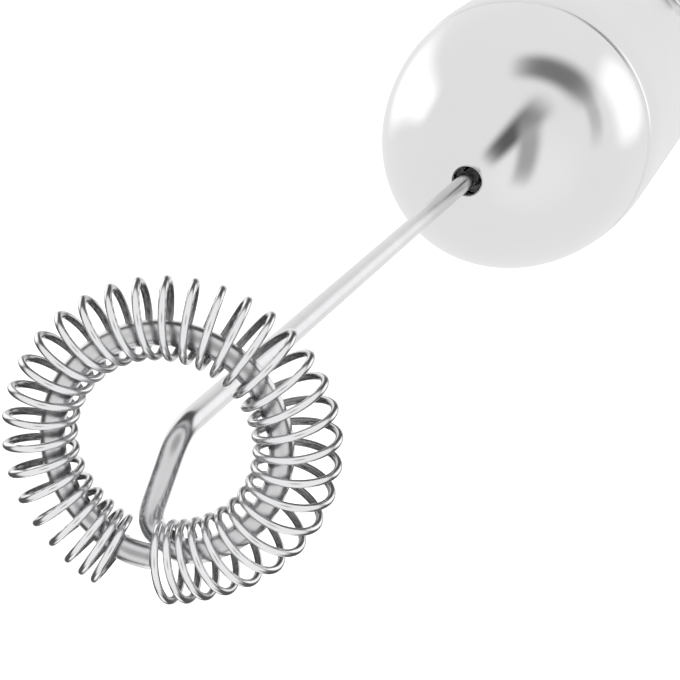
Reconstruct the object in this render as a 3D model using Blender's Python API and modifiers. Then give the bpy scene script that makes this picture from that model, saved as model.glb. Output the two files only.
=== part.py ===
"""Battery milk frother: a coil-ring whisk on a bent wire shaft, a domed nose, a tubular handle and its works.

It stands on its flat tail cap with the whisk on top. The origin is the centre of the tail face and +Z runs
along the handle's axis towards the whisk. Lengths below are in millimetres and are scaled to metres by MM.
"""

from math import cos, exp, pi, radians, sin, sqrt

import bpy
from mathutils import Vector

MM = 0.001
GAP = 0.3  # between pieces that touch on the real object

# Handle shell, nose dome and tail cap
HANDLE_R = 16.5
HANDLE_WALL = 0.9
CAP_H = 10.0
NOSE_BASE_Z = 99.0  # where the tube starts to round in
NOSE_L = 31.0  # length of the rounded nose, base to tip
SEAM_Z = 106.0  # joint line between the handle shell and the nose dome
TIP_Z = NOSE_BASE_Z + NOSE_L
NOSE_HOLE_R = 1.5
SPIGOT_R = HANDLE_R - HANDLE_WALL - GAP

# Whisk
WIRE_R = 0.92  # shaft, leg and ring wire
COIL_WIRE_R = 0.285
RING_CENTRE = Vector((1.27, -0.25, 211.5))
RING_NORMAL = Vector((-0.092, -0.127, 0.9876)).normalized()
RING_R = 9.14  # circle of the coil's loop centres
LOOP_R = 2.675  # centreline radius of one coil loop
CORE_R = 8.25  # the ring wire runs nearer the inside of the coil
ELBOW_DROP = 2.3  # shaft's elbow below the ring plane
LEG_ANGLE = 205.0
TURN_IN, RING_TO = 226.0, 574.0  # where the leg has turned into the ring, and its free end
COIL_FROM = 223.2
COIL_TURNS = 35.75
COIL_POINTS = 8

# Motor
MOTOR_R = 10.2
CAN_WALL = 0.8
CAN_Z0, CAN_Z1 = 78.5, 101.0
SHAFT_R = 1.0

# Batteries: two side by side along X
CELL_R = 7.0
CELL_X = 7.55
CELL_Z0, CELL_L = 15.5, 50.0

# Switch on the front, -Y
SWITCH_Z = 60.0
BUTTON_R = 4.7
BEZEL_R = 6.6
BUTTON_TRAVEL = 1.2


for old in list(bpy.data.objects):
    bpy.data.objects.remove(old, do_unlink=True)

parts = bpy.data.collections.new("milk_frother")
cutters = bpy.data.collections.new("cutters")
bpy.context.scene.collection.children.link(parts)
bpy.context.scene.collection.children.link(cutters)


def material(name, colour, roughness, metallic):
    made = bpy.data.materials.new(name)
    made.use_nodes = True
    shader = made.node_tree.nodes["Principled BSDF"]
    shader.inputs["Base Color"].default_value = (*colour, 1.0)
    shader.inputs["Roughness"].default_value = roughness
    shader.inputs["Metallic"].default_value = metallic
    return made


CHROME = material("polished_chrome", (0.86, 0.87, 0.88), 0.05, 1.0)
SATIN = material("bright_steel_tube", (0.80, 0.81, 0.82), 0.14, 1.0)
STEEL = material("stainless_wire", (0.72, 0.72, 0.73), 0.16, 1.0)
MOTOR_STEEL = material("motor_steel", (0.55, 0.56, 0.57), 0.32, 1.0)
BLACK = material("black_plastic", (0.03, 0.03, 0.033), 0.42, 0.0)
GREY = material("grey_plastic", (0.22, 0.23, 0.24), 0.5, 0.0)
WHITE = material("nylon", (0.85, 0.84, 0.80), 0.45, 0.0)
BRASS = material("brass", (0.75, 0.58, 0.27), 0.28, 1.0)
COPPER = material("copper", (0.78, 0.42, 0.27), 0.3, 1.0)
FERRITE = material("ferrite", (0.07, 0.07, 0.075), 0.7, 0.0)
RUBBER = material("rubber", (0.02, 0.02, 0.02), 0.8, 0.0)
NICKEL = material("nickel_plate", (0.70, 0.69, 0.66), 0.22, 1.0)
CELL = material("cell_wrap", (0.10, 0.18, 0.30), 0.35, 0.0)
RED = material("red_lead", (0.55, 0.03, 0.03), 0.5, 0.0)


def finish(obj, look, parent=None, smooth=35.0):
    """Puts a new object in the parts collection with its material and, where given, under its parent empty."""
    for owner in list(obj.users_collection):
        owner.objects.unlink(obj)
    parts.objects.link(obj)
    obj.data.materials.clear()
    obj.data.materials.append(look)
    if obj.type == "MESH" and smooth:
        obj.data.shade_smooth()
        obj.data.set_sharp_from_angle(angle=radians(smooth))
    if parent:
        obj.parent = parent
        obj.matrix_parent_inverse = parent.matrix_world.inverted()
    return obj


def cutter(obj):
    for owner in list(obj.users_collection):
        owner.objects.unlink(obj)
    cutters.objects.link(obj)
    obj.hide_render = True
    obj.display_type = "WIRE"
    return obj


def axis_empty(name, at):
    empty = bpy.data.objects.new(name, None)
    empty.location = Vector(at) * MM
    empty.empty_display_size = 0.01
    parts.objects.link(empty)
    bpy.context.view_layer.update()
    return empty


def turned(name, profile, steps=32, closed=False, at=(0, 0, 0), turn=(0, 0, 0)):
    """Turns (radius, height) points about local Z. They run down the outer side, from the top to the bottom."""
    mesh = bpy.data.meshes.new(name)
    count = len(profile)
    edges = [(i, i + 1) for i in range(count - 1)] + ([(count - 1, 0)] if closed else [])
    mesh.from_pydata([(r * MM, 0, z * MM) for r, z in profile], edges, [])
    obj = bpy.data.objects.new(name, mesh)
    obj.location = Vector(at) * MM
    obj.rotation_euler = turn
    bpy.context.scene.collection.objects.link(obj)
    screw = obj.modifiers.new("turn", "SCREW")
    screw.angle = 2 * pi
    screw.steps = screw.render_steps = steps
    screw.use_merge_vertices = True
    screw.merge_threshold = 0.00001
    screw.use_smooth_shade = True
    return obj


def rod(name, radius, z0, z1, steps=20, chamfer=0.25):
    """A round bar along Z with a chamfer at each end."""
    return turned(name, [(0, z1), (radius - chamfer, z1), (radius, z1 - chamfer),
                         (radius, z0 + chamfer), (radius - chamfer, z0), (0, z0)], steps)


def ring(name, inner, outer, z0, z1, steps=32, chamfer=0.2):
    """A tube along Z with its outer edges chamfered."""
    return turned(name, [(inner, z1), (outer - chamfer, z1), (outer, z1 - chamfer),
                         (outer, z0 + chamfer), (outer - chamfer, z0), (inner, z0)], steps, closed=True)


def box(name, size, at, bevel=0.0, segments=2):
    bpy.ops.mesh.primitive_cube_add(size=1.0)
    obj = bpy.context.object
    obj.name = obj.data.name = name
    for vertex in obj.data.vertices:
        vertex.co = Vector(c * s * MM for c, s in zip(vertex.co, size))
    obj.location = Vector(at) * MM
    if bevel:
        rounding = obj.modifiers.new("edges", "BEVEL")
        rounding.width = bevel * MM
        rounding.segments = segments
    return obj


def cylinder(name, radius, height, at, turn=(0, 0, 0), sides=24):
    bpy.ops.mesh.primitive_cylinder_add(vertices=sides, radius=radius * MM, depth=height * MM,
                                        location=Vector(at) * MM, rotation=turn)
    obj = bpy.context.object
    obj.name = obj.data.name = name
    return obj


def boolean(obj, other, operation="DIFFERENCE"):
    made = obj.modifiers.new(f"{operation.lower()}_{other.name}", "BOOLEAN")
    made.operation = operation
    made.solver = "EXACT"
    made.object = other
    return obj


def wire(name, points, radius, resolution=1):
    """A round wire along the points, as a bevelled poly curve with filled caps."""
    curve = bpy.data.curves.new(name, "CURVE")
    curve.dimensions = "3D"
    curve.bevel_depth = radius * MM
    curve.bevel_resolution = resolution
    curve.use_fill_caps = True
    spline = curve.splines.new("POLY")
    spline.points.add(len(points) - 1)
    for slot, point in zip(spline.points, points):
        slot.co = (*(Vector(point) * MM), 1.0)
    return bpy.data.objects.new(name, curve)


def plate(name, outlines, z0, z1):
    """A flat outline, with holes where there is more than one loop, extruded from z0 to z1."""
    curve = bpy.data.curves.new(name, "CURVE")
    curve.dimensions = "2D"
    curve.fill_mode = "BOTH"
    curve.extrude = (z1 - z0) / 2 * MM
    for outline in outlines:
        spline = curve.splines.new("POLY")
        spline.points.add(len(outline) - 1)
        spline.use_cyclic_u = True
        for slot, (x, y) in zip(spline.points, outline):
            slot.co = (x * MM, y * MM, 0, 1.0)
    obj = bpy.data.objects.new(name, curve)
    obj.location = (0, 0, (z0 + z1) / 2 * MM)
    return obj


def rounded_path(corners, radius, steps=5):
    """A polyline with each inner corner replaced by a short smooth bend."""
    path = [corners[0]]
    for before, corner, after in zip(corners, corners[1:], corners[2:]):
        start = corner + (before - corner).normalized() * radius
        end = corner + (after - corner).normalized() * radius
        for i in range(steps + 1):
            u = i / steps
            path.append(start * (1 - u) ** 2 + corner * 2 * u * (1 - u) + end * u**2)
    path.append(corners[-1])
    return path


def nose_radius(z, inset=0.0):
    """Radius of the rounded nose at height z; inset gives the inner wall."""
    length, radius = NOSE_L - inset, HANDLE_R - inset
    return radius * sqrt(max(0.0, 1 - ((z - NOSE_BASE_Z) / length) ** 2))


def spring_points(x, y, z0, z1, r0, r1, turns, per_turn=8):
    count = int(turns * per_turn)
    return [(x + (r0 + (r1 - r0) * i / count) * cos(2 * pi * i / per_turn),
             y + (r0 + (r1 - r0) * i / count) * sin(2 * pi * i / per_turn),
             z0 + (z1 - z0) * i / count) for i in range(count + 1)]


# ---------------------------------------------------------------- whisk
ring_x = (Vector((0, -1, 0)) + RING_NORMAL * RING_NORMAL.y).normalized()
ring_y = RING_NORMAL.cross(ring_x)


def on_ring(angle, radius, height=0.0):
    """A point by its angle round the whisk ring, its distance from the ring's centre and its height over it."""
    a = radians(angle)
    return RING_CENTRE + (ring_x * cos(a) + ring_y * sin(a)) * radius + RING_NORMAL * height


def core_point(angle):
    """The ring wire: it starts behind its own free end, comes up inside the coil, and ends over its start."""
    rise = min(max((angle - 538) / 26, 0.0), 1.0)
    rise = rise * rise * (3 - 2 * rise)
    radius = CORE_R + 0.3 * cos(radians(angle - 206)) - 0.62 * exp(-(((angle - 205) / 17) ** 2)) + 0.05 * rise
    return on_ring(angle, radius, 0.85 * rise - 2.0 * exp(-(((angle - 200) / 21) ** 2)))


whisk_axis = axis_empty("whisk_axis", (0, 0, TIP_Z))

tip = Vector((0, 0, TIP_Z - 6))
elbow = RING_CENTRE - (RING_CENTRE - tip).normalized() * ELBOW_DROP
corners = [Vector((0, 0, 113.3)), tip, elbow, on_ring(LEG_ANGLE, 7.7, -1.85), core_point(TURN_IN)]
shaft_path = rounded_path(corners, 1.7)[:-1]
arc_steps = 48
shaft_path += [core_point(TURN_IN + (RING_TO - TURN_IN) * i / arc_steps) for i in range(arc_steps + 1)]
finish(wire("whisk_shaft", shaft_path, WIRE_R, resolution=2), STEEL, whisk_axis)


def pitch(turn):
    """Degrees of ring from one turn to the next: closer where the coil starts and ends, and a little at the top."""
    return (10.94 - 4.82 * exp(-((turn / 3.4) ** 2)) - 1.8 * exp(-(((turn - 14.7) / 5.9) ** 2))
            - 9.7 * exp((turn - 35) / 2.05))


def coil_path(turns, per_turn):
    """The helix round the ring: right-handed, its inner sides leaning towards the gap at both ends."""
    path, angle, fine = [], COIL_FROM - 0.5 * pitch(0), 6
    for i in range(int(turns * per_turn * fine) + 1):
        turn = i / per_turn / fine - 0.5
        swing = -2 * pi * turn
        lean = 2.3 * exp(-max(angle - 220, 0) / 35) - 1.7 * exp(-max(553 - angle, 0) / 35)
        loop = LOOP_R + 0.24 * cos(radians(angle - 318)) + 0.16 * exp(-(((angle - 218) / 14) ** 2))
        middle = (RING_R + 0.05 * cos(radians(angle - 320)) - 0.15 * cos(radians(2 * angle - 110))
                  + 0.15 * exp(-(((angle - 223) / 12) ** 2)) + 0.35 * exp(-(((angle - 553) / 12) ** 2)))
        if i % fine == 0:
            path.append(on_ring(angle - lean * (1 - cos(swing)), middle + loop * cos(swing), loop * sin(swing)))
        angle += max(pitch(turn), 5.2) / per_turn / fine
    return path


finish(wire("whisk_coil", coil_path(COIL_TURNS, COIL_POINTS), COIL_WIRE_R, resolution=1), STEEL, whisk_axis)

bore = WIRE_R + GAP
finish(turned("shaft_coupling", [(0, 113.0), (bore, 113.0), (bore, 119.0), (2.5, 119.0), (3.0, 118.4),
                                 (3.0, 105.6), (2.5, 105.0), (SHAFT_R + GAP, 105.0), (SHAFT_R + GAP, 112.4),
                                 (0, 112.4)], 24), BRASS, whisk_axis)
finish(rod("motor_shaft", SHAFT_R, 76.8, 112.1, 16), STEEL, whisk_axis)


def pole_outline(outer, waist, neck, per_pole=14):
    """Three mushroom-shaped poles round the shaft, as on a small three-slot armature."""
    points = []
    for pole in range(3):
        centre = 2 * pi * pole / 3
        half = radians(48)
        for i in range(per_pole):
            a = centre - half + 2 * half * i / (per_pole - 1)
            points.append((outer * cos(a), outer * sin(a)))
        a = centre + half
        points.append(((outer - 1.3) * cos(a), (outer - 1.3) * sin(a)))
        points.append((neck * cos(centre + waist), neck * sin(centre + waist)))
        points.append((neck * cos(centre + 2 * pi / 3 - waist), neck * sin(centre + 2 * pi / 3 - waist)))
        a = centre + 2 * pi / 3 - half
        points.append(((outer - 1.3) * cos(a), (outer - 1.3) * sin(a)))
    return points


def circle(radius, count, x=0.0, y=0.0):
    return [(x + radius * cos(2 * pi * i / count), y + radius * sin(2 * pi * i / count)) for i in range(count)]


finish(plate("motor_armature", [pole_outline(6.9, radians(40), 3.1), circle(SHAFT_R + GAP, 16)], 84, 97),
       MOTOR_STEEL, whisk_axis)
finish(ring("commutator", SHAFT_R + GAP, 2.6, 80.4, 83.6, 18), COPPER, whisk_axis)

# ---------------------------------------------------------------- nose and handle shell
dome_from = SEAM_Z + GAP
rise = [dome_from + (TIP_Z - dome_from) * sin(pi / 2 * i / 11) for i in range(12)]
hole_top = NOSE_BASE_Z + NOSE_L * sqrt(1 - (NOSE_HOLE_R / HANDLE_R) ** 2)
outer_wall = [(nose_radius(z), z) for z in rise if z < hole_top - 0.1] + [(NOSE_HOLE_R, hole_top)]
wall = 1.7
hole_low = NOSE_BASE_Z + (NOSE_L - wall) * sqrt(1 - (NOSE_HOLE_R / (HANDLE_R - wall)) ** 2)
inner_rise = [dome_from + 0.8 + (hole_low - dome_from - 0.8) * sin(pi / 2 * i / 5) for i in range(6)]
inner_wall = [(nose_radius(z, wall), z) for z in inner_rise[:-1]] + [(NOSE_HOLE_R, hole_low)]
dome = list(reversed(outer_wall)) + [(SPIGOT_R, dome_from), (SPIGOT_R, 97.0), (SPIGOT_R - 1.4, 97.0)] + inner_wall
finish(turned("nose_dome", dome, 36, closed=True), CHROME)
finish(turned("nose_bushing", [(bore, 126.8), (2.9, 126.8), (3.1, 126.6), (3.1, 124.0), (bore, 124.0)], 20,
              closed=True), GREY)

tube_low = CAP_H + GAP
shell = [(nose_radius(SEAM_Z), SEAM_Z), (nose_radius(102), 102), (HANDLE_R, NOSE_BASE_Z), (HANDLE_R, tube_low + 0.3),
         (HANDLE_R - 0.3, tube_low), (HANDLE_R - HANDLE_WALL, tube_low), (HANDLE_R - HANDLE_WALL, SEAM_Z)]
handle = finish(turned("handle_shell", shell, 36, closed=True), SATIN)
front = (pi / 2, 0, 0)
boolean(handle, cutter(cylinder("button_hole", BEZEL_R + GAP, 8, (0, -17, SWITCH_Z), front, 28)))

# ---------------------------------------------------------------- switch
button_axis = axis_empty("button_axis", (0, -HANDLE_R, SWITCH_Z))
bezel = ring("switch_bezel", BUTTON_R + GAP, BEZEL_R, 13.4, 17.3, 28, 0.4)
bezel.location, bezel.rotation_euler = (0, 0, SWITCH_Z * MM), front
finish(bezel, CHROME)
button = turned("switch_button", [(0, 18.2), (2.0, 18.05), (3.6, 17.6), (BUTTON_R, 16.8), (BUTTON_R, 12.6),
                                  (0, 12.6)], 24)
button.rotation_euler, button.location = front, (0, 0, SWITCH_Z * MM)
finish(button, BLACK, button_axis)
tact = box("switch_body", (6.4, 3.0, 6.4), (0, -9.2, SWITCH_Z), 0.3, 1)
boolean(tact, cutter(cylinder("plunger", 1.6, 1.5, (0, -10.4, SWITCH_Z), front, 14)), "UNION")
finish(tact, GREY)

# ---------------------------------------------------------------- tail cap
cap_axis = axis_empty("cap_axis", (0, 0, 0))
groove = 14.0
cap = [(SPIGOT_R - 2.1, 15.0), (SPIGOT_R - 0.3, 15.0), (SPIGOT_R, 14.7), (SPIGOT_R, 14.1), (groove, 14.1),
       (groove, 12.1), (SPIGOT_R, 12.1), (SPIGOT_R, CAP_H), (HANDLE_R - 0.3, CAP_H), (HANDLE_R, CAP_H - 0.3),
       (HANDLE_R, 2.2), (HANDLE_R - 0.5, 0.9), (HANDLE_R - 1.6, 0.15), (HANDLE_R - 2.6, 0.0), (0, 0),
       (0, 3.0), (SPIGOT_R - 2.1, 3.0)]
cap = cap[-2:-1] + cap[-1:] + cap[:-2]
finish(turned("tail_cap", cap, 36), BLACK, cap_axis)
bpy.ops.mesh.primitive_torus_add(major_segments=32, minor_segments=6, major_radius=14.85 * MM,
                                 minor_radius=0.45 * MM, location=(0, 0, 13.1 * MM))
bpy.context.object.name = "tail_oring"
finish(bpy.context.object, RUBBER, cap_axis)
bridge = box("bridge_plate", (23.0, 8.0, 0.5), (0, 0, 3.6), 0.1, 1)
boolean(bridge, cutter(cylinder("bridge_post", 2.4, 11.6, (CELL_X, 0, 9.4), sides=16)), "UNION")
finish(bridge, NICKEL, cap_axis)
finish(wire("tail_spring", spring_points(-CELL_X, 0, 4.5, 14.9, 4.6, 2.6, 5.5), 0.35), STEEL, cap_axis)

# ---------------------------------------------------------------- batteries and their contacts
cell = [(0, CELL_L), (2.5, CELL_L), (2.7, CELL_L - 0.3), (2.7, CELL_L - 1.2), (CELL_R - 0.5, CELL_L - 1.2),
        (CELL_R, CELL_L - 1.7), (CELL_R, 0.5), (CELL_R - 0.5, 0), (0, 0)]
finish(turned("battery_up", cell, 28, at=(-CELL_X, 0, CELL_Z0)), CELL)
finish(turned("battery_down", cell, 28, at=(CELL_X, 0, CELL_Z0 + CELL_L), turn=(pi, 0, 0)), CELL)
cell_top = CELL_Z0 + CELL_L
plus = box("contact_plus", (9, 8, 0.5), (-CELL_X, 0, 69.4), 0.1, 1)
boolean(plus, cutter(cylinder("contact_post", 2.0, 3.7, (-CELL_X, 0, cell_top + GAP + 1.85), sides=16)), "UNION")
finish(plus, NICKEL)
finish(box("contact_minus", (9, 8, 0.5), (CELL_X, 0, 69.4), 0.1, 1), NICKEL)
finish(wire("spring_minus", spring_points(CELL_X, 0, cell_top + 0.8, 68.5, 2.6, 4.2, 3), 0.35), STEEL)

# The cradle: a round plastic frame, open at its sides for the cells, with a top plate
frame = rod("battery_cradle", SPIGOT_R, 17.0, 72.0, 40, 0.4)
boolean(frame, cutter(box("cell_bay", (40, 14.8, 60), (0, 0, 39.9))))
boolean(frame, cutter(box("switch_bay", (14.6, 10, 14.6), (0, -12.4, SWITCH_Z))))
for side in (-1, 1):
    boolean(frame, cutter(cylinder(f"lead_hole_{side + 1}", 1.3, 6, (side * CELL_X, 5.2, 71), sides=12)))
    boolean(frame, cutter(cylinder(f"screw_hole_{side + 1}", 1.3, 9, (0, side * 13.3, 71), sides=12)))
    boolean(frame, cutter(box(f"rail_pocket_{side + 1}", (14, 8, 26), (0, side * 15.0, 34), 0.8, 1)))
finish(frame, GREY)

# ---------------------------------------------------------------- motor
can_in = MOTOR_R - CAN_WALL
can = [(SHAFT_R + GAP, 103.0), (2.8, 103.0), (3.0, 102.8), (3.0, CAN_Z1), (MOTOR_R - 0.6, CAN_Z1),
       (MOTOR_R, CAN_Z1 - 0.6), (MOTOR_R, CAN_Z0), (can_in, CAN_Z0), (can_in, CAN_Z1 - CAN_WALL),
       (SHAFT_R + GAP, CAN_Z1 - CAN_WALL)]
finish(turned("motor_can", can, 32, closed=True), MOTOR_STEEL)
finish(turned("motor_end_bell", [(SHAFT_R + GAP, 80.0), (can_in - GAP, 80.0), (can_in - GAP, CAN_Z0 - GAP),
                                 (MOTOR_R, CAN_Z0 - GAP), (MOTOR_R, 76.4), (MOTOR_R - 0.6, 75.8),
                                 (SHAFT_R + GAP, 75.8)], 32, closed=True), WHITE)


def sector(inner, outer, middle, half, count=12):
    angles = [middle - half + 2 * half * i / count for i in range(count + 1)]
    return ([(outer * cos(a), outer * sin(a)) for a in angles]
            + [(inner * cos(a), inner * sin(a)) for a in reversed(angles)])


for name, middle in (("magnet_left", pi), ("magnet_right", 0.0)):
    finish(plate(name, [sector(7.25, can_in - GAP, middle, radians(62))], 83, 98.5), FERRITE)
for name, y in (("brush_front", -4.1), ("brush_back", 4.1)):
    finish(box(name, (1.6, 2.2, 2.2), (0, y, 81.8), 0.2, 1), BRASS)
for name, x in (("terminal_left", -6.5), ("terminal_right", 6.5)):
    finish(box(name, (0.5, 2.4, 2.6), (x, 0, 74.1), 0.1, 1), NICKEL)

sleeve = MOTOR_R + GAP
mount = turned("motor_mount", [(sleeve, 96.0), (12.0, 96.0), (12.0, 95.0), (SPIGOT_R, 94.6), (SPIGOT_R, 92.6),
                               (12.0, 92.2), (12.0, 74.4), (SPIGOT_R, 74.4), (SPIGOT_R, 72.0 + GAP),
                               (sleeve, 72.0 + GAP)], 36, closed=True)
for side in (-1, 1):
    boolean(mount, cutter(cylinder(f"mount_hole_{side + 1}", 1.3, 6, (0, side * 13.3, 73), sides=12)))
finish(mount, GREY)
for name, y in (("mount_screw_front", -13.3), ("mount_screw_back", 13.3)):
    screw = turned(name, [(0, 76.0), (1.1, 75.9), (1.1, 74.7), (1.0, 74.7), (1.0, 67.4), (0.4, 66.9), (0, 66.9)], 12)
    screw.location = (0, y * MM, 0)
    finish(screw, NICKEL)

for name, x, look in (("lead_red", -CELL_X, RED), ("lead_black", CELL_X, RUBBER)):
    inward = 1 if x < 0 else -1
    lead = rounded_path([Vector((x, 5.2, 70.1)), Vector((x, 5.2, 74.0)), Vector((x, 2.4, 74.6)),
                         Vector((x + 0.2 * inward, 1.5, 74.2))], 0.8, 3)
    finish(wire(name, lead, 0.55), look)
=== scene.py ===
"""Looks of a battery milk frother: smooth wirework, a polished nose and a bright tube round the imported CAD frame.

Lengths are in millimetres and MM scales them to metres. +Z runs from the tail to the whisk and -Y faces the switch.
"""
from math import cos, exp, pi, radians, sin, sqrt

import bpy
from mathutils import Matrix, Vector


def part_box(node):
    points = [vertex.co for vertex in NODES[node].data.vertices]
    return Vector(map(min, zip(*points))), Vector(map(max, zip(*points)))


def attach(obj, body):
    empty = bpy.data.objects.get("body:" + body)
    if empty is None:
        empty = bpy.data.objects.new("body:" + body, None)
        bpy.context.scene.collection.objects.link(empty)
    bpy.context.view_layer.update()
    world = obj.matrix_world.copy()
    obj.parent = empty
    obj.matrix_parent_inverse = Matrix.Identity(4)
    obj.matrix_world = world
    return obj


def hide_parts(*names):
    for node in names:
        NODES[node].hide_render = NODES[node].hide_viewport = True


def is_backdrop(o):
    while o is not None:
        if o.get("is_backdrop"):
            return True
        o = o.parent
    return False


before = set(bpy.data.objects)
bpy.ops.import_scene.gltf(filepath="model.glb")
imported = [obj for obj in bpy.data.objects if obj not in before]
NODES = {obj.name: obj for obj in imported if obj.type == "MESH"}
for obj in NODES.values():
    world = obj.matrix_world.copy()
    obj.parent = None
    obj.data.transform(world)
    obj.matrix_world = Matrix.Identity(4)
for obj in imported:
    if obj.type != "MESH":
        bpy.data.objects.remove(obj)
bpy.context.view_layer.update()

MM = 0.001

# ---------------------------------------------------------------- places that come from the CAD
HANDLE_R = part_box("handle_shell")[1].x / MM
CAP_H = 10.0
TUBE_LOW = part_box("handle_shell")[0].z / MM
SEAM_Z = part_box("handle_shell")[1].z / MM
NOSE_BASE_Z, NOSE_L, NOSE_HOLE_R = 99.0, 31.0, 1.5    # half-ellipsoid: its base, its height and the shaft's hole
NOSE_WALL, NOSE_LIP = 1.7, 0.35
SPIGOT_LOW, SPIGOT_WALL = 97.0, 1.4                   # the collar of the nose inside the tube
TUBE_WALL, GAP = 0.9, 0.3
SPIGOT_R = HANDLE_R - TUBE_WALL - GAP
SWITCH_Z = (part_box("switch_button")[0].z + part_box("switch_button")[1].z) / 2 / MM
BEZEL_R, BEZEL_FACE = 6.6, 17.3                       # heights of the switch are distances from the handle's axis
BUTTON_R = 4.7
SWITCH_LOW = 13.4
CELL_X = 7.55
ORING_R, ORING_SECTION_R, ORING_Z = 14.85, 0.45, 13.1
TAIL_SPRING_R, TAIL_SPRING_TOP_R, TAIL_SPRING_TURNS, TAIL_SPRING_WIRE_R = 4.6, 2.6, 5.5, 0.35
FLUTES, FLUTE_DEPTH, FLUTE_LOW, FLUTE_HIGH = 48, 0.32, 2.6, 9.0

RING_CENTRE = Vector((1.27, -0.25, 211.5))
RING_NORMAL = Vector((-0.092, -0.127, 0.9876)).normalized()
RING_X = (Vector((0, -1, 0)) + RING_NORMAL * RING_NORMAL.y).normalized()
RING_Y = RING_NORMAL.cross(RING_X)
WIRE_R, COIL_WIRE_R = 0.92, 0.285
SHAFT_LOW, TIP_DROP, ELBOW_DROP = 113.3, 6.0, 2.3
LEG_ANGLE, LEG_R, LEG_HEIGHT = 205.0, 7.7, -1.85      # where the leg meets the ring
CORE_R, RING_R, LOOP_R = 8.25, 9.14, 2.675            # ring wire, circle of the loops' middles, each loop
TURN_IN, RING_TO = 226.0, 574.0                       # degrees of ring from which, and to which, the ring wire runs
COIL_FROM, COIL_TO = 223.2, 553.0
TURNS, LEAST_PITCH = 35.75, 5.2
CORE_STEPS = 175


# ---------------------------------------------------------------- materials
PAINTED_INWARD_SHADE = 0.38     # painted shade: how much of its colour the side of a coil's wire that faces into the coil keeps, standing in for the shade inside the coil


def shader_tree(name, roughness, metallic, **constants):
    """A material with its Principled shader, and a helper that adds a node and links its inputs."""
    made = bpy.data.materials.new(name)
    made.use_nodes = True
    tree = made.node_tree
    shader = tree.nodes["Principled BSDF"]
    shader.inputs["Roughness"].default_value = roughness
    shader.inputs["Metallic"].default_value = metallic
    for socket, value in constants.items():
        shader.inputs[socket.replace("_", " ")].default_value = value

    def add(kind, settings=None, **inputs):
        node = tree.nodes.new(kind)
        for key, value in (settings or {}).items():
            setattr(node, key, value)
        for key, value in inputs.items():
            socket = node.inputs[key.replace("_", " ")]
            if isinstance(value, bpy.types.NodeSocket):
                tree.links.new(value, socket)
            else:
                socket.default_value = value
        return node

    return made, tree, shader, add


def surface(name, low, high, roughness, metallic=0.0, spread=0.05, scale=900.0, stretch=(1, 1, 1), bump=0.1,
            bump_scale=4000.0, depth=0.00002, wire=False, patches=60.0, **constants):
    """Colour drifts from low to high in soft patches, roughness varies round its mean, and fine grain bumps the normal.

    stretch pulls the grain along an axis. With wire, the grain follows the wire's own length and girth, and the side
    that faces into a coil is darkened with painted shade, standing in for the coil shading itself.
    """
    made, tree, shader, add = shader_tree(name, roughness, metallic, **constants)
    if wire:
        along = add("ShaderNodeAttribute", {"attribute_name": "along"}).outputs["Fac"]
        around = add("ShaderNodeAttribute", {"attribute_name": "around"}).outputs["Fac"]
        place = add("ShaderNodeCombineXYZ", X=along, Y=around).outputs["Vector"]
    else:
        place = add("ShaderNodeTexCoord").outputs["Object"]
    pulled = add("ShaderNodeMapping", Vector=place, Scale=stretch).outputs["Vector"]
    drift = add("ShaderNodeTexNoise", Vector=place, Scale=patches, Detail=3.0, Roughness=0.55).outputs["Fac"]
    tint = add("ShaderNodeMix", {"data_type": "RGBA"}, Factor=drift)
    tint.inputs[6].default_value = (*low, 1.0)
    tint.inputs[7].default_value = (*high, 1.0)
    colour = tint.outputs[2]
    if wire:
        # painted shade: the wire's side that faces into the coil is darkened, standing in for the shade inside the coil
        inner = add("ShaderNodeAttribute", {"attribute_name": "inner"}).outputs["Fac"]
        painted_shade = add("ShaderNodeMix", {"data_type": "RGBA"}, Factor=inner)
        tree.links.new(colour, painted_shade.inputs[6])
        painted_shade.inputs[7].default_value = (*(PAINTED_INWARD_SHADE * c for c in low), 1.0)
        colour = painted_shade.outputs[2]
    tree.links.new(colour, shader.inputs["Base Color"])
    grain = add("ShaderNodeTexNoise", Vector=pulled, Scale=scale, Detail=4.0, Roughness=0.6).outputs["Fac"]
    rough = add("ShaderNodeMapRange", Value=grain, From_Min=0.25, From_Max=0.75,
                To_Min=max(0.01, roughness - spread), To_Max=roughness + spread)
    tree.links.new(rough.outputs["Result"], shader.inputs["Roughness"])
    fine = add("ShaderNodeTexNoise", Vector=pulled, Scale=bump_scale, Detail=3.0, Roughness=0.6).outputs["Fac"]
    raised = add("ShaderNodeBump", Strength=bump, Distance=depth, Height=fine)
    tree.links.new(raised.outputs["Normal"], shader.inputs["Normal"])
    return made


CHROME = surface("polished_chrome", (0.81, 0.81, 0.81), (0.87, 0.87, 0.87), 0.085, 1.0, 0.02, 300, (1, 1,
                 1), 0.03, 2500)
TUBE = surface("bright_steel_tube", (0.79, 0.79, 0.79), (0.86, 0.86, 0.86), 0.15, 1.0, 0.04, 500, (1, 1,
               14), 0.05, 1500)
WIRE = surface("drawn_wire", (0.72, 0.72, 0.73), (0.82, 0.82, 0.83), 0.15, 1.0, 0.05, 3.0, (0.12, 14, 1),
               0.12, 3.0,
               0.00002, wire=True, patches=0.4)
SHAFT = surface("shaft_wire", (0.62, 0.62, 0.63), (0.74, 0.74, 0.75), 0.20, 1.0, 0.06, 2.0, (0.10, 16, 1),
                0.20, 2.0,
                0.00004, wire=True, patches=0.25)
BLACK = surface("black_plastic", (0.022, 0.022, 0.024), (0.034, 0.034, 0.037), 0.42, 0.0, 0.06, 900,
                bump=0.35, bump_scale=3800)
PALE_GREY = surface("pale_grey_plastic", (0.58, 0.58, 0.58), (0.64, 0.64, 0.64), 0.5, 0.0, 0.05, 900, bump=0.2)
GREY = surface("grey_plastic", (0.20, 0.21, 0.22), (0.24, 0.25, 0.26), 0.5, 0.0, 0.05, 900, bump=0.25)
NYLON = surface("nylon", (0.80, 0.79, 0.74), (0.88, 0.87, 0.83), 0.45, 0.0, 0.05, 700, bump=0.2)
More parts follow.
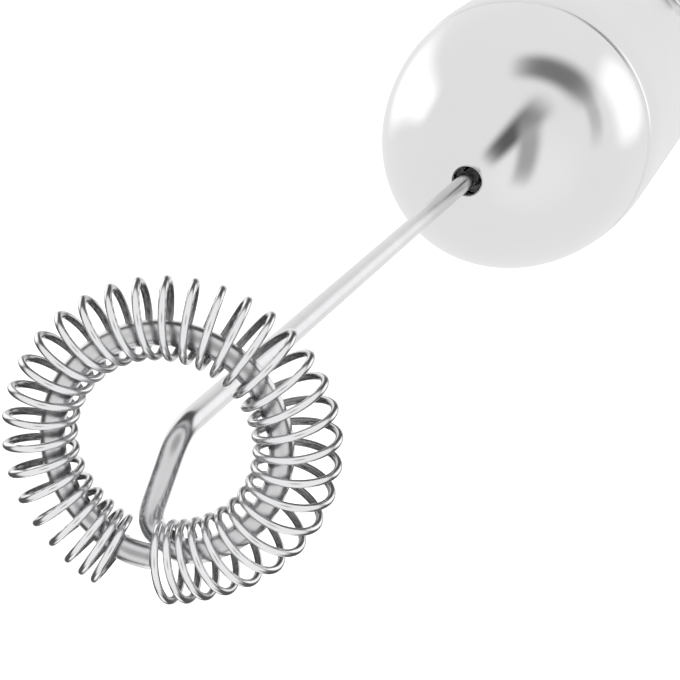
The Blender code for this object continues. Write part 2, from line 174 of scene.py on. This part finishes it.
RUBBER = surface("rubber", (0.016, 0.016, 0.016), (0.028, 0.028, 0.028), 0.78, 0.0, 0.06, 1200, bump=0.4)
BRASS = surface("brass", (0.68, 0.50, 0.22), (0.80, 0.64, 0.32), 0.26, 1.0, 0.06, 800, (1, 1, 8), 0.15, 2500)
COPPER = surface("copper", (0.70, 0.36, 0.22), (0.84, 0.48, 0.32), 0.3, 1.0, 0.07, 900, (1, 1, 8), 0.15, 2500)
FERRITE = surface("ferrite", (0.05, 0.05, 0.054), (0.09, 0.09, 0.095), 0.7, 0.0, 0.08, 1500, bump=0.5)
NICKEL = surface("nickel_plate", (0.62, 0.61, 0.58), (0.74, 0.73, 0.70), 0.24, 1.0, 0.06, 900, (12, 1, 1),
                 0.15, 2500)
MOTOR_STEEL = surface("motor_steel", (0.48, 0.49, 0.50), (0.60, 0.61, 0.62), 0.32, 1.0, 0.07, 900, (1, 1,
                      6), 0.2, 2500)
CELL = surface("cell_sleeve", (0.08, 0.15, 0.26), (0.12, 0.21, 0.34), 0.34, 0.0, 0.05, 500, bump=0.08,
               Coat_Weight=0.4)
RED = surface("red_insulation", (0.48, 0.02, 0.02), (0.60, 0.05, 0.04), 0.45, 0.0, 0.06, 900, bump=0.15)

LOOKS = {
    "shaft_coupling": BRASS, "motor_shaft": NICKEL, "motor_armature": MOTOR_STEEL, "commutator": COPPER,
    "nose_bushing": PALE_GREY, "switch_body": GREY, "bridge_plate": NICKEL, "battery_up": CELL, "battery_down": CELL,
    "contact_plus": NICKEL, "contact_minus": NICKEL, "spring_minus": NICKEL, "battery_cradle": GREY,
    "motor_can": MOTOR_STEEL, "motor_end_bell": NYLON, "magnet_left": FERRITE, "magnet_right": FERRITE,
    "brush_front": BRASS, "brush_back": BRASS, "terminal_left": NICKEL, "terminal_right": NICKEL,
    "motor_mount": GREY, "mount_screw_front": NICKEL, "mount_screw_back": NICKEL, "lead_red": RED,
    "lead_black": RUBBER,
}
for node_name, look in LOOKS.items():
    NODES[node_name].data.materials.clear()
    NODES[node_name].data.materials.append(look)


# ---------------------------------------------------------------- mesh builders
def made_mesh(name, points, faces, look, sharp=40.0):
    """A smooth-shaded mesh of points in millimetres, with edges over sharp degrees kept crisp."""
    mesh = bpy.data.meshes.new(name)
    mesh.from_pydata([tuple(Vector(p) * MM) for p in points], [], faces)
    mesh.validate()
    mesh.shade_smooth()
    mesh.set_sharp_from_angle(angle=radians(sharp))
    mesh.materials.append(look)
    obj = bpy.data.objects.new(name, mesh)
    bpy.context.scene.collection.objects.link(obj)
    return obj


def lathe(name, profile, look, steps=144, closed=False, ripple=None, sharp=40.0):
    """Turns (radius, height) points about Z. ripple(angle, radius, height) changes the radius, for flutes."""
    rows, points, faces = [], [], []
    for r, z in profile:
        if r < 1e-6:
            rows.append([len(points)] * steps)
            points.append((0, 0, z))
            continue
        rows.append(list(range(len(points), len(points) + steps)))
        for i in range(steps):
            a = 2 * pi * i / steps
            turned = ripple(a, r, z) if ripple else r
            points.append((turned * cos(a), turned * sin(a), z))
    pairs = list(zip(rows, rows[1:])) + ([(rows[-1], rows[0])] if closed else [])
    for upper, lower in pairs:
        for i in range(steps):
            j = (i + 1) % steps
            face = list(dict.fromkeys((upper[i], lower[i], lower[j], upper[j])))
            if len(face) > 2:
                faces.append(face)
    return made_mesh(name, points, faces, look, sharp)


def smooth_corner(profile, radius=0.25, steps=4, closed=False):
    """The same outline with each corner eased, so that its edge catches the light."""
    out, count = [], len(profile)
    for i, corner in enumerate(profile):
        if not closed and i in (0, count - 1):
            out.append(corner)
            continue
        at = Vector(corner)
        before, after = Vector(profile[i - 1]), Vector(profile[(i + 1) % count])
        reach = min(radius, (before - at).length * 0.45, (after - at).length * 0.45)
        start = at + (before - at).normalized() * reach
        end = at + (after - at).normalized() * reach
        for k in range(steps + 1):
            u = k / steps
            out.append(tuple(start * (1 - u) ** 2 + at * 2 * u * (1 - u) + end * u * u))
    return out


def tube(name, path, radius, look, sides=16, press=None, dome=0.5, middles=None):
    """A round wire along the path with eased ends. press(i) gives (direction, scale) where it is flattened, and
    middles are the points that a coil goes round."""
    path = [Vector(p) for p in path]
    tangents = [(path[min(i + 1, len(path) - 1)] - path[max(i - 1, 0)]).normalized() for i in range(len(path))]
    side = tangents[0].orthogonal().normalized()
    points, faces, along, around, inner, run = [], [], [], [], [], 0.0
    rings = []
    ends = [(-dome * radius * s, sqrt(max(0.0, 1 - s * s))) for s in (0.97, 0.8, 0.45)]
    stations = [(0, shift, scale) for shift, scale in ends]
    stations += [(i, 0.0, 1.0) for i in range(len(path))]
    stations += [(len(path) - 1, -shift, scale) for shift, scale in reversed(ends)]
    last = 0
    for i, shift, scale in stations:
        if i != last:
            run += (path[i] - path[last]).length
            last = i
        tangent = tangents[i]
        side = (side - tangent * side.dot(tangent)).normalized()
        other = tangent.cross(side)
        first = len(points)
        for k in range(sides):
            a = 2 * pi * k / sides
            offset = (side * cos(a) + other * sin(a)) * radius * scale
            if press:
                toward, share = press(i)
                toward = (toward - tangent * toward.dot(tangent)).normalized()
                offset -= toward * offset.dot(toward) * (1 - share)
            points.append(path[i] + tangent * shift + offset)
            along.append(run + shift)
            around.append(0.5 + 0.5 * cos(a))
            # inner is the mask for painted shade: it is highest on the side of the wire that faces the coil's middle
            facing = offset.normalized().dot((middles[i] - path[i]).normalized()) if middles else 0.0
            inner.append(min(1.0, max(0.0, 1.3 * facing)))
        rings.append(first)
    for upper, lower in zip(rings, rings[1:]):
        for k in range(sides):
            n = (k + 1) % sides
            faces.append((upper + k, upper + n, lower + n, lower + k))
    faces.append(tuple(range(rings[0] + sides - 1, rings[0] - 1, -1)))
    faces.append(tuple(range(rings[-1], rings[-1] + sides)))
    obj = made_mesh(name, points, faces, look, 60.0)
    for title, values in (("along", along), ("around", around), ("inner", inner)):
        layer = obj.data.attributes.new(title, "FLOAT", "POINT")
        layer.data.foreach_set("value", values)
    return obj


# ---------------------------------------------------------------- whisk
def on_ring(angle, radius, height=0.0):
    """A point by its angle round the whisk ring, its distance from the ring's centre and its height over it."""
    a = radians(angle)
    return RING_CENTRE + (RING_X * cos(a) + RING_Y * sin(a)) * radius + RING_NORMAL * height


def pitch(turn):
    """Degrees of ring from one turn to the next: closer where the coil starts and ends, and a little at the top."""
    return (10.94 - 4.82 * exp(-((turn / 3.4) ** 2)) - 1.8 * exp(-(((turn - 14.7) / 5.9) ** 2))
            - 9.7 * exp((turn - 35) / 2.05))


def coil_points(per_turn=44):
    """The helix round the ring, its inner sides leaning towards the gap at both ends, and the middles it goes round."""
    path, middles, angle = [], [], COIL_FROM - 0.5 * pitch(0)
    count = int(TURNS * per_turn)
    for i in range(count + 1):
        turn = i / per_turn - 0.5
        swing = -2 * pi * turn
        start, end = (angle - 220) / 35, (COIL_TO - angle) / 35
        lean = 2.3 * exp(-max(start, 0)) - 1.7 * exp(-max(end, 0))
        loop = LOOP_R + 0.24 * cos(radians(angle - 318)) + 0.16 * exp(-(((angle - 218) / 14) ** 2))
        middle = (RING_R + 0.05 * cos(radians(angle - 320)) - 0.15 * cos(radians(2 * angle - 110))
                  + 0.15 * exp(-(((angle - 223) / 12) ** 2)) + 0.35 * exp(-(((angle - COIL_TO) / 12) ** 2)))
        path.append(on_ring(angle - lean * (1 - cos(swing)), middle + loop * cos(swing), loop * sin(swing)))
        middles.append(on_ring(angle - lean, middle))
        angle += max(pitch(turn), LEAST_PITCH) / per_turn
    return path, middles


def core_point(angle):
    """The ring wire: it starts behind its own free end, comes up inside the coil, and ends over its start."""
    rise = min(max((angle - 538) / 26, 0.0), 1.0)
    rise = rise * rise * (3 - 2 * rise)
    start = exp(-(((angle - 205) / 17) ** 2))
    radius = CORE_R + 0.3 * cos(radians(angle - 206)) - 0.62 * start + 0.05 * rise
    return on_ring(angle, radius, 0.85 * rise - 2.0 * exp(-(((angle - 200) / 21) ** 2)))


def rounded(corners, radius, steps=12):
    """The path through the corners with each one eased over its own radius."""
    path = [corners[0]]
    for before, corner, after, r in zip(corners, corners[1:], corners[2:], radius):
        start = corner + (before - corner).normalized() * r
        end = corner + (after - corner).normalized() * r
        for i in range(steps + 1):
            u = i / steps
            path.append(start * (1 - u) ** 2 + corner * 2 * u * (1 - u) + end * u * u)
    path.append(corners[-1])
    return path


def refined(path, step):
    """The same route with points no further apart than step."""
    out = [path[0]]
    for a, b in zip(path, path[1:]):
        pieces = max(1, int((b - a).length / step))
        out += [a.lerp(b, (k + 1) / pieces) for k in range(pieces)]
    return out


tip = Vector((0, 0, NOSE_BASE_Z + NOSE_L - TIP_DROP))
elbow = RING_CENTRE - (RING_CENTRE - tip).normalized() * ELBOW_DROP
corners = [Vector((0, 0, SHAFT_LOW)), tip, elbow, on_ring(LEG_ANGLE, LEG_R, LEG_HEIGHT), core_point(TURN_IN)]
shaft_path = refined(rounded(corners, (2.0, 2.0, 1.7)), 0.8)[:-1]
shaft_path += [core_point(TURN_IN + (RING_TO - TURN_IN) * i / CORE_STEPS) for i in range(CORE_STEPS + 1)]
leg_middle = (elbow + corners[3]) / 2


def leg_press(i):
    """The leg was pinched a little when the wire was bent, most at its middle."""
    away = (shaft_path[i] - leg_middle).length / 3.4
    return RING_NORMAL, 1 - 0.12 * exp(-away * away)


shaft = tube("fine_shaft", shaft_path, WIRE_R, SHAFT, 32, press=leg_press)
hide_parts("whisk_shaft")
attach(shaft, "whisk")

coil_path, coil_middles = coil_points()
coil = tube("fine_coil", coil_path, COIL_WIRE_R, WIRE, 14, middles=coil_middles)
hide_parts("whisk_coil")
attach(coil, "whisk")


# ---------------------------------------------------------------- nose and tube
def nose_radius(z, inset=0.0):
    """How far the nose's surface, or one that far inside it, is from the axis at a height."""
    return (HANDLE_R - inset) * sqrt(max(0.0, 1 - ((z - NOSE_BASE_Z) / (NOSE_L - inset)) ** 2))


def nose_height(r):
    return NOSE_BASE_Z + NOSE_L * sqrt(1 - (r / HANDLE_R) ** 2)


nose_low = SEAM_Z + GAP
edge = nose_height(NOSE_HOLE_R + NOSE_LIP)
rise = []
for i in range(64):
    z = nose_low + 0.25 + (edge - nose_low - 0.25) * sin(pi / 2 * i / 63)
    rise.append((nose_radius(z), z))
nose = ([(NOSE_HOLE_R, edge - 1.5), (NOSE_HOLE_R, edge - 0.4), (NOSE_HOLE_R + 0.04, edge - 0.2),
         (NOSE_HOLE_R + 0.14, edge - 0.07), (NOSE_HOLE_R + 0.24, edge - 0.015)]
        + list(reversed(rise))
        + [(nose_radius(nose_low) - 0.08, nose_low + 0.08), (nose_radius(nose_low) - 0.25, nose_low),
           (SPIGOT_R, nose_low), (SPIGOT_R, SPIGOT_LOW), (SPIGOT_R - SPIGOT_WALL, SPIGOT_LOW),
           (SPIGOT_R - SPIGOT_WALL, nose_low)]
        + [(nose_radius(z, NOSE_WALL), z) for z in (108.0, 112.0, 116.0, 120.0, 123.5, 126.0, 127.4)])
dome = lathe("fine_nose", nose, CHROME, 192, closed=True, sharp=30)
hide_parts("nose_dome")
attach(dome, "handle")

seam_r = nose_radius(SEAM_Z)
wall = [(HANDLE_R - TUBE_WALL, SEAM_Z - 0.1), (seam_r - 0.2, SEAM_Z), (seam_r - 0.06, SEAM_Z - 0.06)]
wall += [(nose_radius(z), z) for z in [SEAM_Z - 0.2 - (SEAM_Z - 0.2 - NOSE_BASE_Z) * i / 8 for i in range(9)]]
wall += [(HANDLE_R, NOSE_BASE_Z - (NOSE_BASE_Z - TUBE_LOW - 0.35) * i / 40) for i in range(1, 41)]
wall += [(HANDLE_R - 0.09, TUBE_LOW + 0.09), (HANDLE_R - 0.35, TUBE_LOW), (HANDLE_R - TUBE_WALL, TUBE_LOW)]
shell = lathe("fine_shell", wall, TUBE, 192, closed=True, sharp=30)
bpy.ops.mesh.primitive_cylinder_add(vertices=96, radius=(BEZEL_R + GAP) * MM, depth=8 * MM,
                                    location=(0, -17 * MM, SWITCH_Z * MM), rotation=(pi / 2, 0, 0))
hole = bpy.context.object
cut = shell.modifiers.new("switch_hole", "BOOLEAN")
cut.operation, cut.solver, cut.object = "DIFFERENCE", "EXACT", hole
bpy.context.view_layer.update()
shell.data = bpy.data.meshes.new_from_object(shell.evaluated_get(bpy.context.evaluated_depsgraph_get()))
shell.modifiers.clear()
bpy.data.objects.remove(hole)


def true_normals(obj, low, high):
    """Gives the tube's outer faces a true cylinder's normals, so that the cut leaves no ripple in its reflections."""
    mesh = obj.data
    normals = []
    for polygon in mesh.polygons:
        centre = polygon.center
        outward = Vector((centre.x, centre.y, 0)).normalized()
        plain = low * MM < centre.z < high * MM and polygon.normal.dot(outward) > 0.98
        for loop in polygon.loop_indices:
            at = mesh.vertices[mesh.loops[loop].vertex_index].co
            normals.append(Vector((at.x, at.y, 0)).normalized() if plain else mesh.corner_normals[loop].vector.copy())
    mesh.normals_split_custom_set(normals)


true_normals(shell, TUBE_LOW + 0.4, NOSE_BASE_Z)
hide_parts("handle_shell")
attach(shell, "handle")

# ---------------------------------------------------------------- switch
FRONT = Matrix.Translation((0, 0, SWITCH_Z * MM)) @ Matrix.Rotation(pi / 2, 4, "X")
rim = [(BUTTON_R + GAP, 17.0), (BUTTON_R + 0.7, BEZEL_FACE), (BEZEL_R - 0.5, BEZEL_FACE), (BEZEL_R, 16.7),
       (BEZEL_R, SWITCH_LOW), (BUTTON_R + GAP, SWITCH_LOW)]
bezel = lathe("fine_bezel", smooth_corner(rim, 0.3, 5, True), CHROME, 128, closed=True)
bezel.matrix_world = FRONT
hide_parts("switch_bezel")
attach(bezel, "handle")

top = [(0, 17.72), (1.6, 17.75), (2.6, 17.86), (3.2, 18.02), (3.6, 18.14), (3.95, 18.0), (4.25, 17.6), (4.5, 17.1),
       (BUTTON_R, 16.6), (BUTTON_R, 12.6), (0, 12.6)]
button = lathe("fine_button", smooth_corner(top, 0.4, 5), BLACK, 96)
button.matrix_world = FRONT
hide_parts("switch_button")
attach(button, "button")


# ---------------------------------------------------------------- tail cap
def flutes(a, r, z):
    """Shallow grip flutes round the cap's skirt, fading out towards its top and bottom."""
    if r < HANDLE_R - 0.2 or not FLUTE_LOW < z < FLUTE_HIGH:
        return r
    fade = min(1.0, (z - FLUTE_LOW) / 0.9, (FLUTE_HIGH - z) / 0.9)
    return r - FLUTE_DEPTH * fade * (0.5 - 0.5 * cos(FLUTES * a)) ** 2


skirt = [(HANDLE_R, 9.4 - 0.35 * i) for i in range(20)]
cap_wall = ([(0, 3.0), (SPIGOT_R - 2.1, 3.0), (SPIGOT_R - 2.1, 15.0), (SPIGOT_R - 0.3, 15.0), (SPIGOT_R, 14.7),
             (SPIGOT_R, 14.1), (14.0, 14.1), (14.0, 12.1), (SPIGOT_R, 12.1), (SPIGOT_R, CAP_H),
             (HANDLE_R - 0.35, CAP_H), (HANDLE_R - 0.09, CAP_H - 0.1)] + skirt
            + [(HANDLE_R, 2.3), (HANDLE_R - 0.12, 1.6), (HANDLE_R - 0.5, 0.9), (HANDLE_R - 1.0, 0.42),
               (HANDLE_R - 1.7, 0.12), (HANDLE_R - 2.6, 0.0), (9.4, 0.0), (9.2, 0.25), (8.8, 0.25), (8.6, 0.0), (0, 0)])
cap = lathe("fine_cap", cap_wall, BLACK, 384, ripple=flutes, sharp=35)
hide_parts("tail_cap")
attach(cap, "cap")

section = [(ORING_R + ORING_SECTION_R * cos(2 * pi * i / 20), ORING_Z - ORING_SECTION_R * sin(2 * pi * i / 20))
           for i in range(20)]
seal = lathe("fine_oring", section, RUBBER, 128, closed=True)
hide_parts("tail_oring")
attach(seal, "cap")

spring_path = []
for i in range(201):
    t = i / 200
    r = TAIL_SPRING_R - (TAIL_SPRING_R - TAIL_SPRING_TOP_R) * t
    a = 2 * pi * TAIL_SPRING_TURNS * t
    spring_path.append((-CELL_X + r * cos(a), r * sin(a), 4.5 + 10.4 * t))
spring = tube("fine_tail_spring", spring_path, TAIL_SPRING_WIRE_R, WIRE, 12)
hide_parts("tail_spring")
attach(spring, "cap")


# ---------------------------------------------------------------- studio
FLOOR_Z = -0.0205     # just clear of the tail cap when it is drawn off
bpy.ops.mesh.primitive_plane_add(size=30, location=(0, 0, FLOOR_Z))
floor = bpy.context.object
floor.name = "floor"
paper, tree, shader, add = shader_tree("pale_paper", 0.9, 0.0)
place = add("ShaderNodeTexCoord").outputs["Object"]
fibre = add("ShaderNodeTexNoise", Vector=place, Scale=40.0, Detail=2.0).outputs["Fac"]
shade = add("ShaderNodeMix", {"data_type": "RGBA"}, Factor=fibre)
shade.inputs[6].default_value = (0.90, 0.90, 0.90, 1)
shade.inputs[7].default_value = (0.93, 0.93, 0.93, 1)
tree.links.new(shade.outputs[2], shader.inputs["Base Color"])
shader.inputs["Specular IOR Level"].default_value = 0.1
shader.inputs["Emission Color"].default_value = (1, 1, 1, 1)
shader.inputs["Emission Strength"].default_value = 0.45
floor.data.materials.append(paper)
floor.visible_glossy = False
floor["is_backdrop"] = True

world = bpy.data.worlds.new("studio")
bpy.context.scene.world = world
world.use_nodes = True
sky = world.node_tree
ray = sky.nodes.new("ShaderNodeLightPath")
air = sky.nodes.new("ShaderNodeMix")
air.data_type = "FLOAT"
sky.links.new(ray.outputs["Is Glossy Ray"], air.inputs[0])
air.inputs[2].default_value, air.inputs[3].default_value = 1.0, 0.0
sky.links.new(air.outputs[0], sky.nodes["Background"].inputs["Strength"])
sky.nodes["Background"].inputs["Color"].default_value = (1, 1, 1, 1)

OVERHEAD = Vector((0, -0.438, 0.899)).normalized()    # from in front of the switch and above


def tent(name, radius, level, zones, receivers):
    """A light tent that only its receivers reflect: a sphere round the frother, its glow varying with direction.

    A zone is (direction, inner degrees, outer degrees, glow) for a round patch, or has a fifth item, the normal of a
    plane through the middle, which narrows it to a streak of the sixth item's half-width in degrees.
    """
    made = bpy.data.materials.new(name)
    made.use_nodes = True
    tree = made.node_tree
    tree.nodes.clear()

    def maths(kind, *items):
        node = tree.nodes.new("ShaderNodeMath")
        node.operation = kind
        for socket, item in zip(node.inputs, items):
            if isinstance(item, bpy.types.NodeSocket):
                tree.links.new(item, socket)
            else:
                socket.default_value = item
        return node.outputs[0]

    def eased(value, low, high):
        node = tree.nodes.new("ShaderNodeMapRange")
        node.interpolation_type = "SMOOTHSTEP"
        tree.links.new(value, node.inputs["Value"])
        node.inputs["From Min"].default_value, node.inputs["From Max"].default_value = low, high
        return node.outputs["Result"]

    where = tree.nodes.new("ShaderNodeVectorMath")
    where.operation = "NORMALIZE"
    tree.links.new(tree.nodes.new("ShaderNodeTexCoord").outputs["Object"], where.inputs[0])

    def toward(direction):
        node = tree.nodes.new("ShaderNodeVectorMath")
        node.operation = "DOT_PRODUCT"
        tree.links.new(where.outputs[0], node.inputs[0])
        node.inputs[1].default_value = Vector(direction).normalized()
        return node.outputs["Value"]

    glow = level
    for direction, inner, outer, target, *streak in zones:
        share = eased(toward(direction), cos(radians(outer)), cos(radians(inner)))
        if streak:
            off = maths("ABSOLUTE", toward(streak[0]))
            share = maths("MULTIPLY", share, eased(off, sin(radians(streak[1] * 1.6)), sin(radians(streak[1] * 0.4))))
        change = maths("SUBTRACT", target, glow)
        glow = maths("ADD", glow, maths("MULTIPLY", share, change))
    lamp = tree.nodes.new("ShaderNodeEmission")
    tree.links.new(glow, lamp.inputs["Strength"])
    both = tree.nodes.new("ShaderNodeAddShader")
    tree.links.new(lamp.outputs[0], both.inputs[0])
    tree.links.new(tree.nodes.new("ShaderNodeBsdfTransparent").outputs[0], both.inputs[1])
    tree.links.new(both.outputs[0], tree.nodes.new("ShaderNodeOutputMaterial").inputs["Surface"])
    made.cycles.emission_sampling = "NONE"
    bpy.ops.mesh.primitive_uv_sphere_add(segments=48, ring_count=24, radius=radius)
    ball = bpy.context.object
    ball.name = name
    ball.data.materials.append(made)
    ball.visible_camera = ball.visible_diffuse = ball.visible_shadow = ball.visible_transmission = False
    group = bpy.data.collections.new(name + "_receivers")
    for piece in receivers:
        group.objects.link(piece)
    ball.light_linking.receiver_collection = group
    ball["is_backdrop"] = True


wires = [shaft, coil, spring]
others = [o for o in bpy.context.scene.objects if o.type == "MESH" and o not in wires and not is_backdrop(o)]
tent("tent_for_chrome", 3.0, 0.87, [
    ((-0.70, -0.50, 0.50), 10, 60, 0.92),
    ((-0.22, -0.86, -0.48), 8, 36, 0.55, (0.16, 0.436, -0.885), 4),
    ((0.16, -0.888, -0.43), 3, 32, 0.2, (0.16, 0.436, -0.885), 8),
    ((-0.36, -0.54, -0.76), 9, 22, 1.25, (0.50, 0.567, -0.652), 9),
    ((0.80, 0.29, -0.52), 16, 33, 1.35, (0.12, -0.913, -0.39), 11),
    ((-0.02, -0.84, 0.54), 2, 46, 0.12, (1, 0.02, 0.0), 11),
    ((-0.40, -0.76, 0.50), 2, 44, 0.42, (0.555, 0.18, 0.811), 10),
], others)
bright = [
    ((0.82, 0.22, -0.46), 16, 34, 1.3),
    ((-0.36, -0.58, -0.73), 14, 32, 1.3),
    ((-0.60, 0.75, 0.1), 12, 30, 1.2),
]
tent("tent_for_wire", 3.4, 1.0, [
    (OVERHEAD, 140, 162, 0.11), (OVERHEAD, 74, 96, 1.05), *bright, (OVERHEAD, 3, 18, 0.4),
], [coil, spring])
tent("tent_for_shaft", 3.8, 1.0, [
    (OVERHEAD, 116, 127, 0.1), (OVERHEAD, 62, 82, 0.95), *bright, (OVERHEAD, 10, 40, 0.5),
], [shaft])

camera = bpy.data.objects.new("camera", bpy.data.cameras.new("camera"))
bpy.context.scene.collection.objects.link(camera)
bpy.context.scene.camera = camera
camera.data.lens, camera.data.sensor_width = 100.06, 36.0
camera.data.clip_start, camera.data.clip_end = 0.01, 60.0
right = Vector((-0.7105, -0.6325, -0.3085)).normalized()
up = Vector((0.7037, -0.6386, -0.3115))
up = (up - right * up.dot(right)).normalized()
back = right.cross(up)
place = Matrix.Translation(Vector((-2.35, -70.54, 324.64)) * MM)
camera.matrix_world = place @ Matrix((right, up, back)).transposed().to_4x4()

bpy.context.scene.view_settings.view_transform = "Standard"
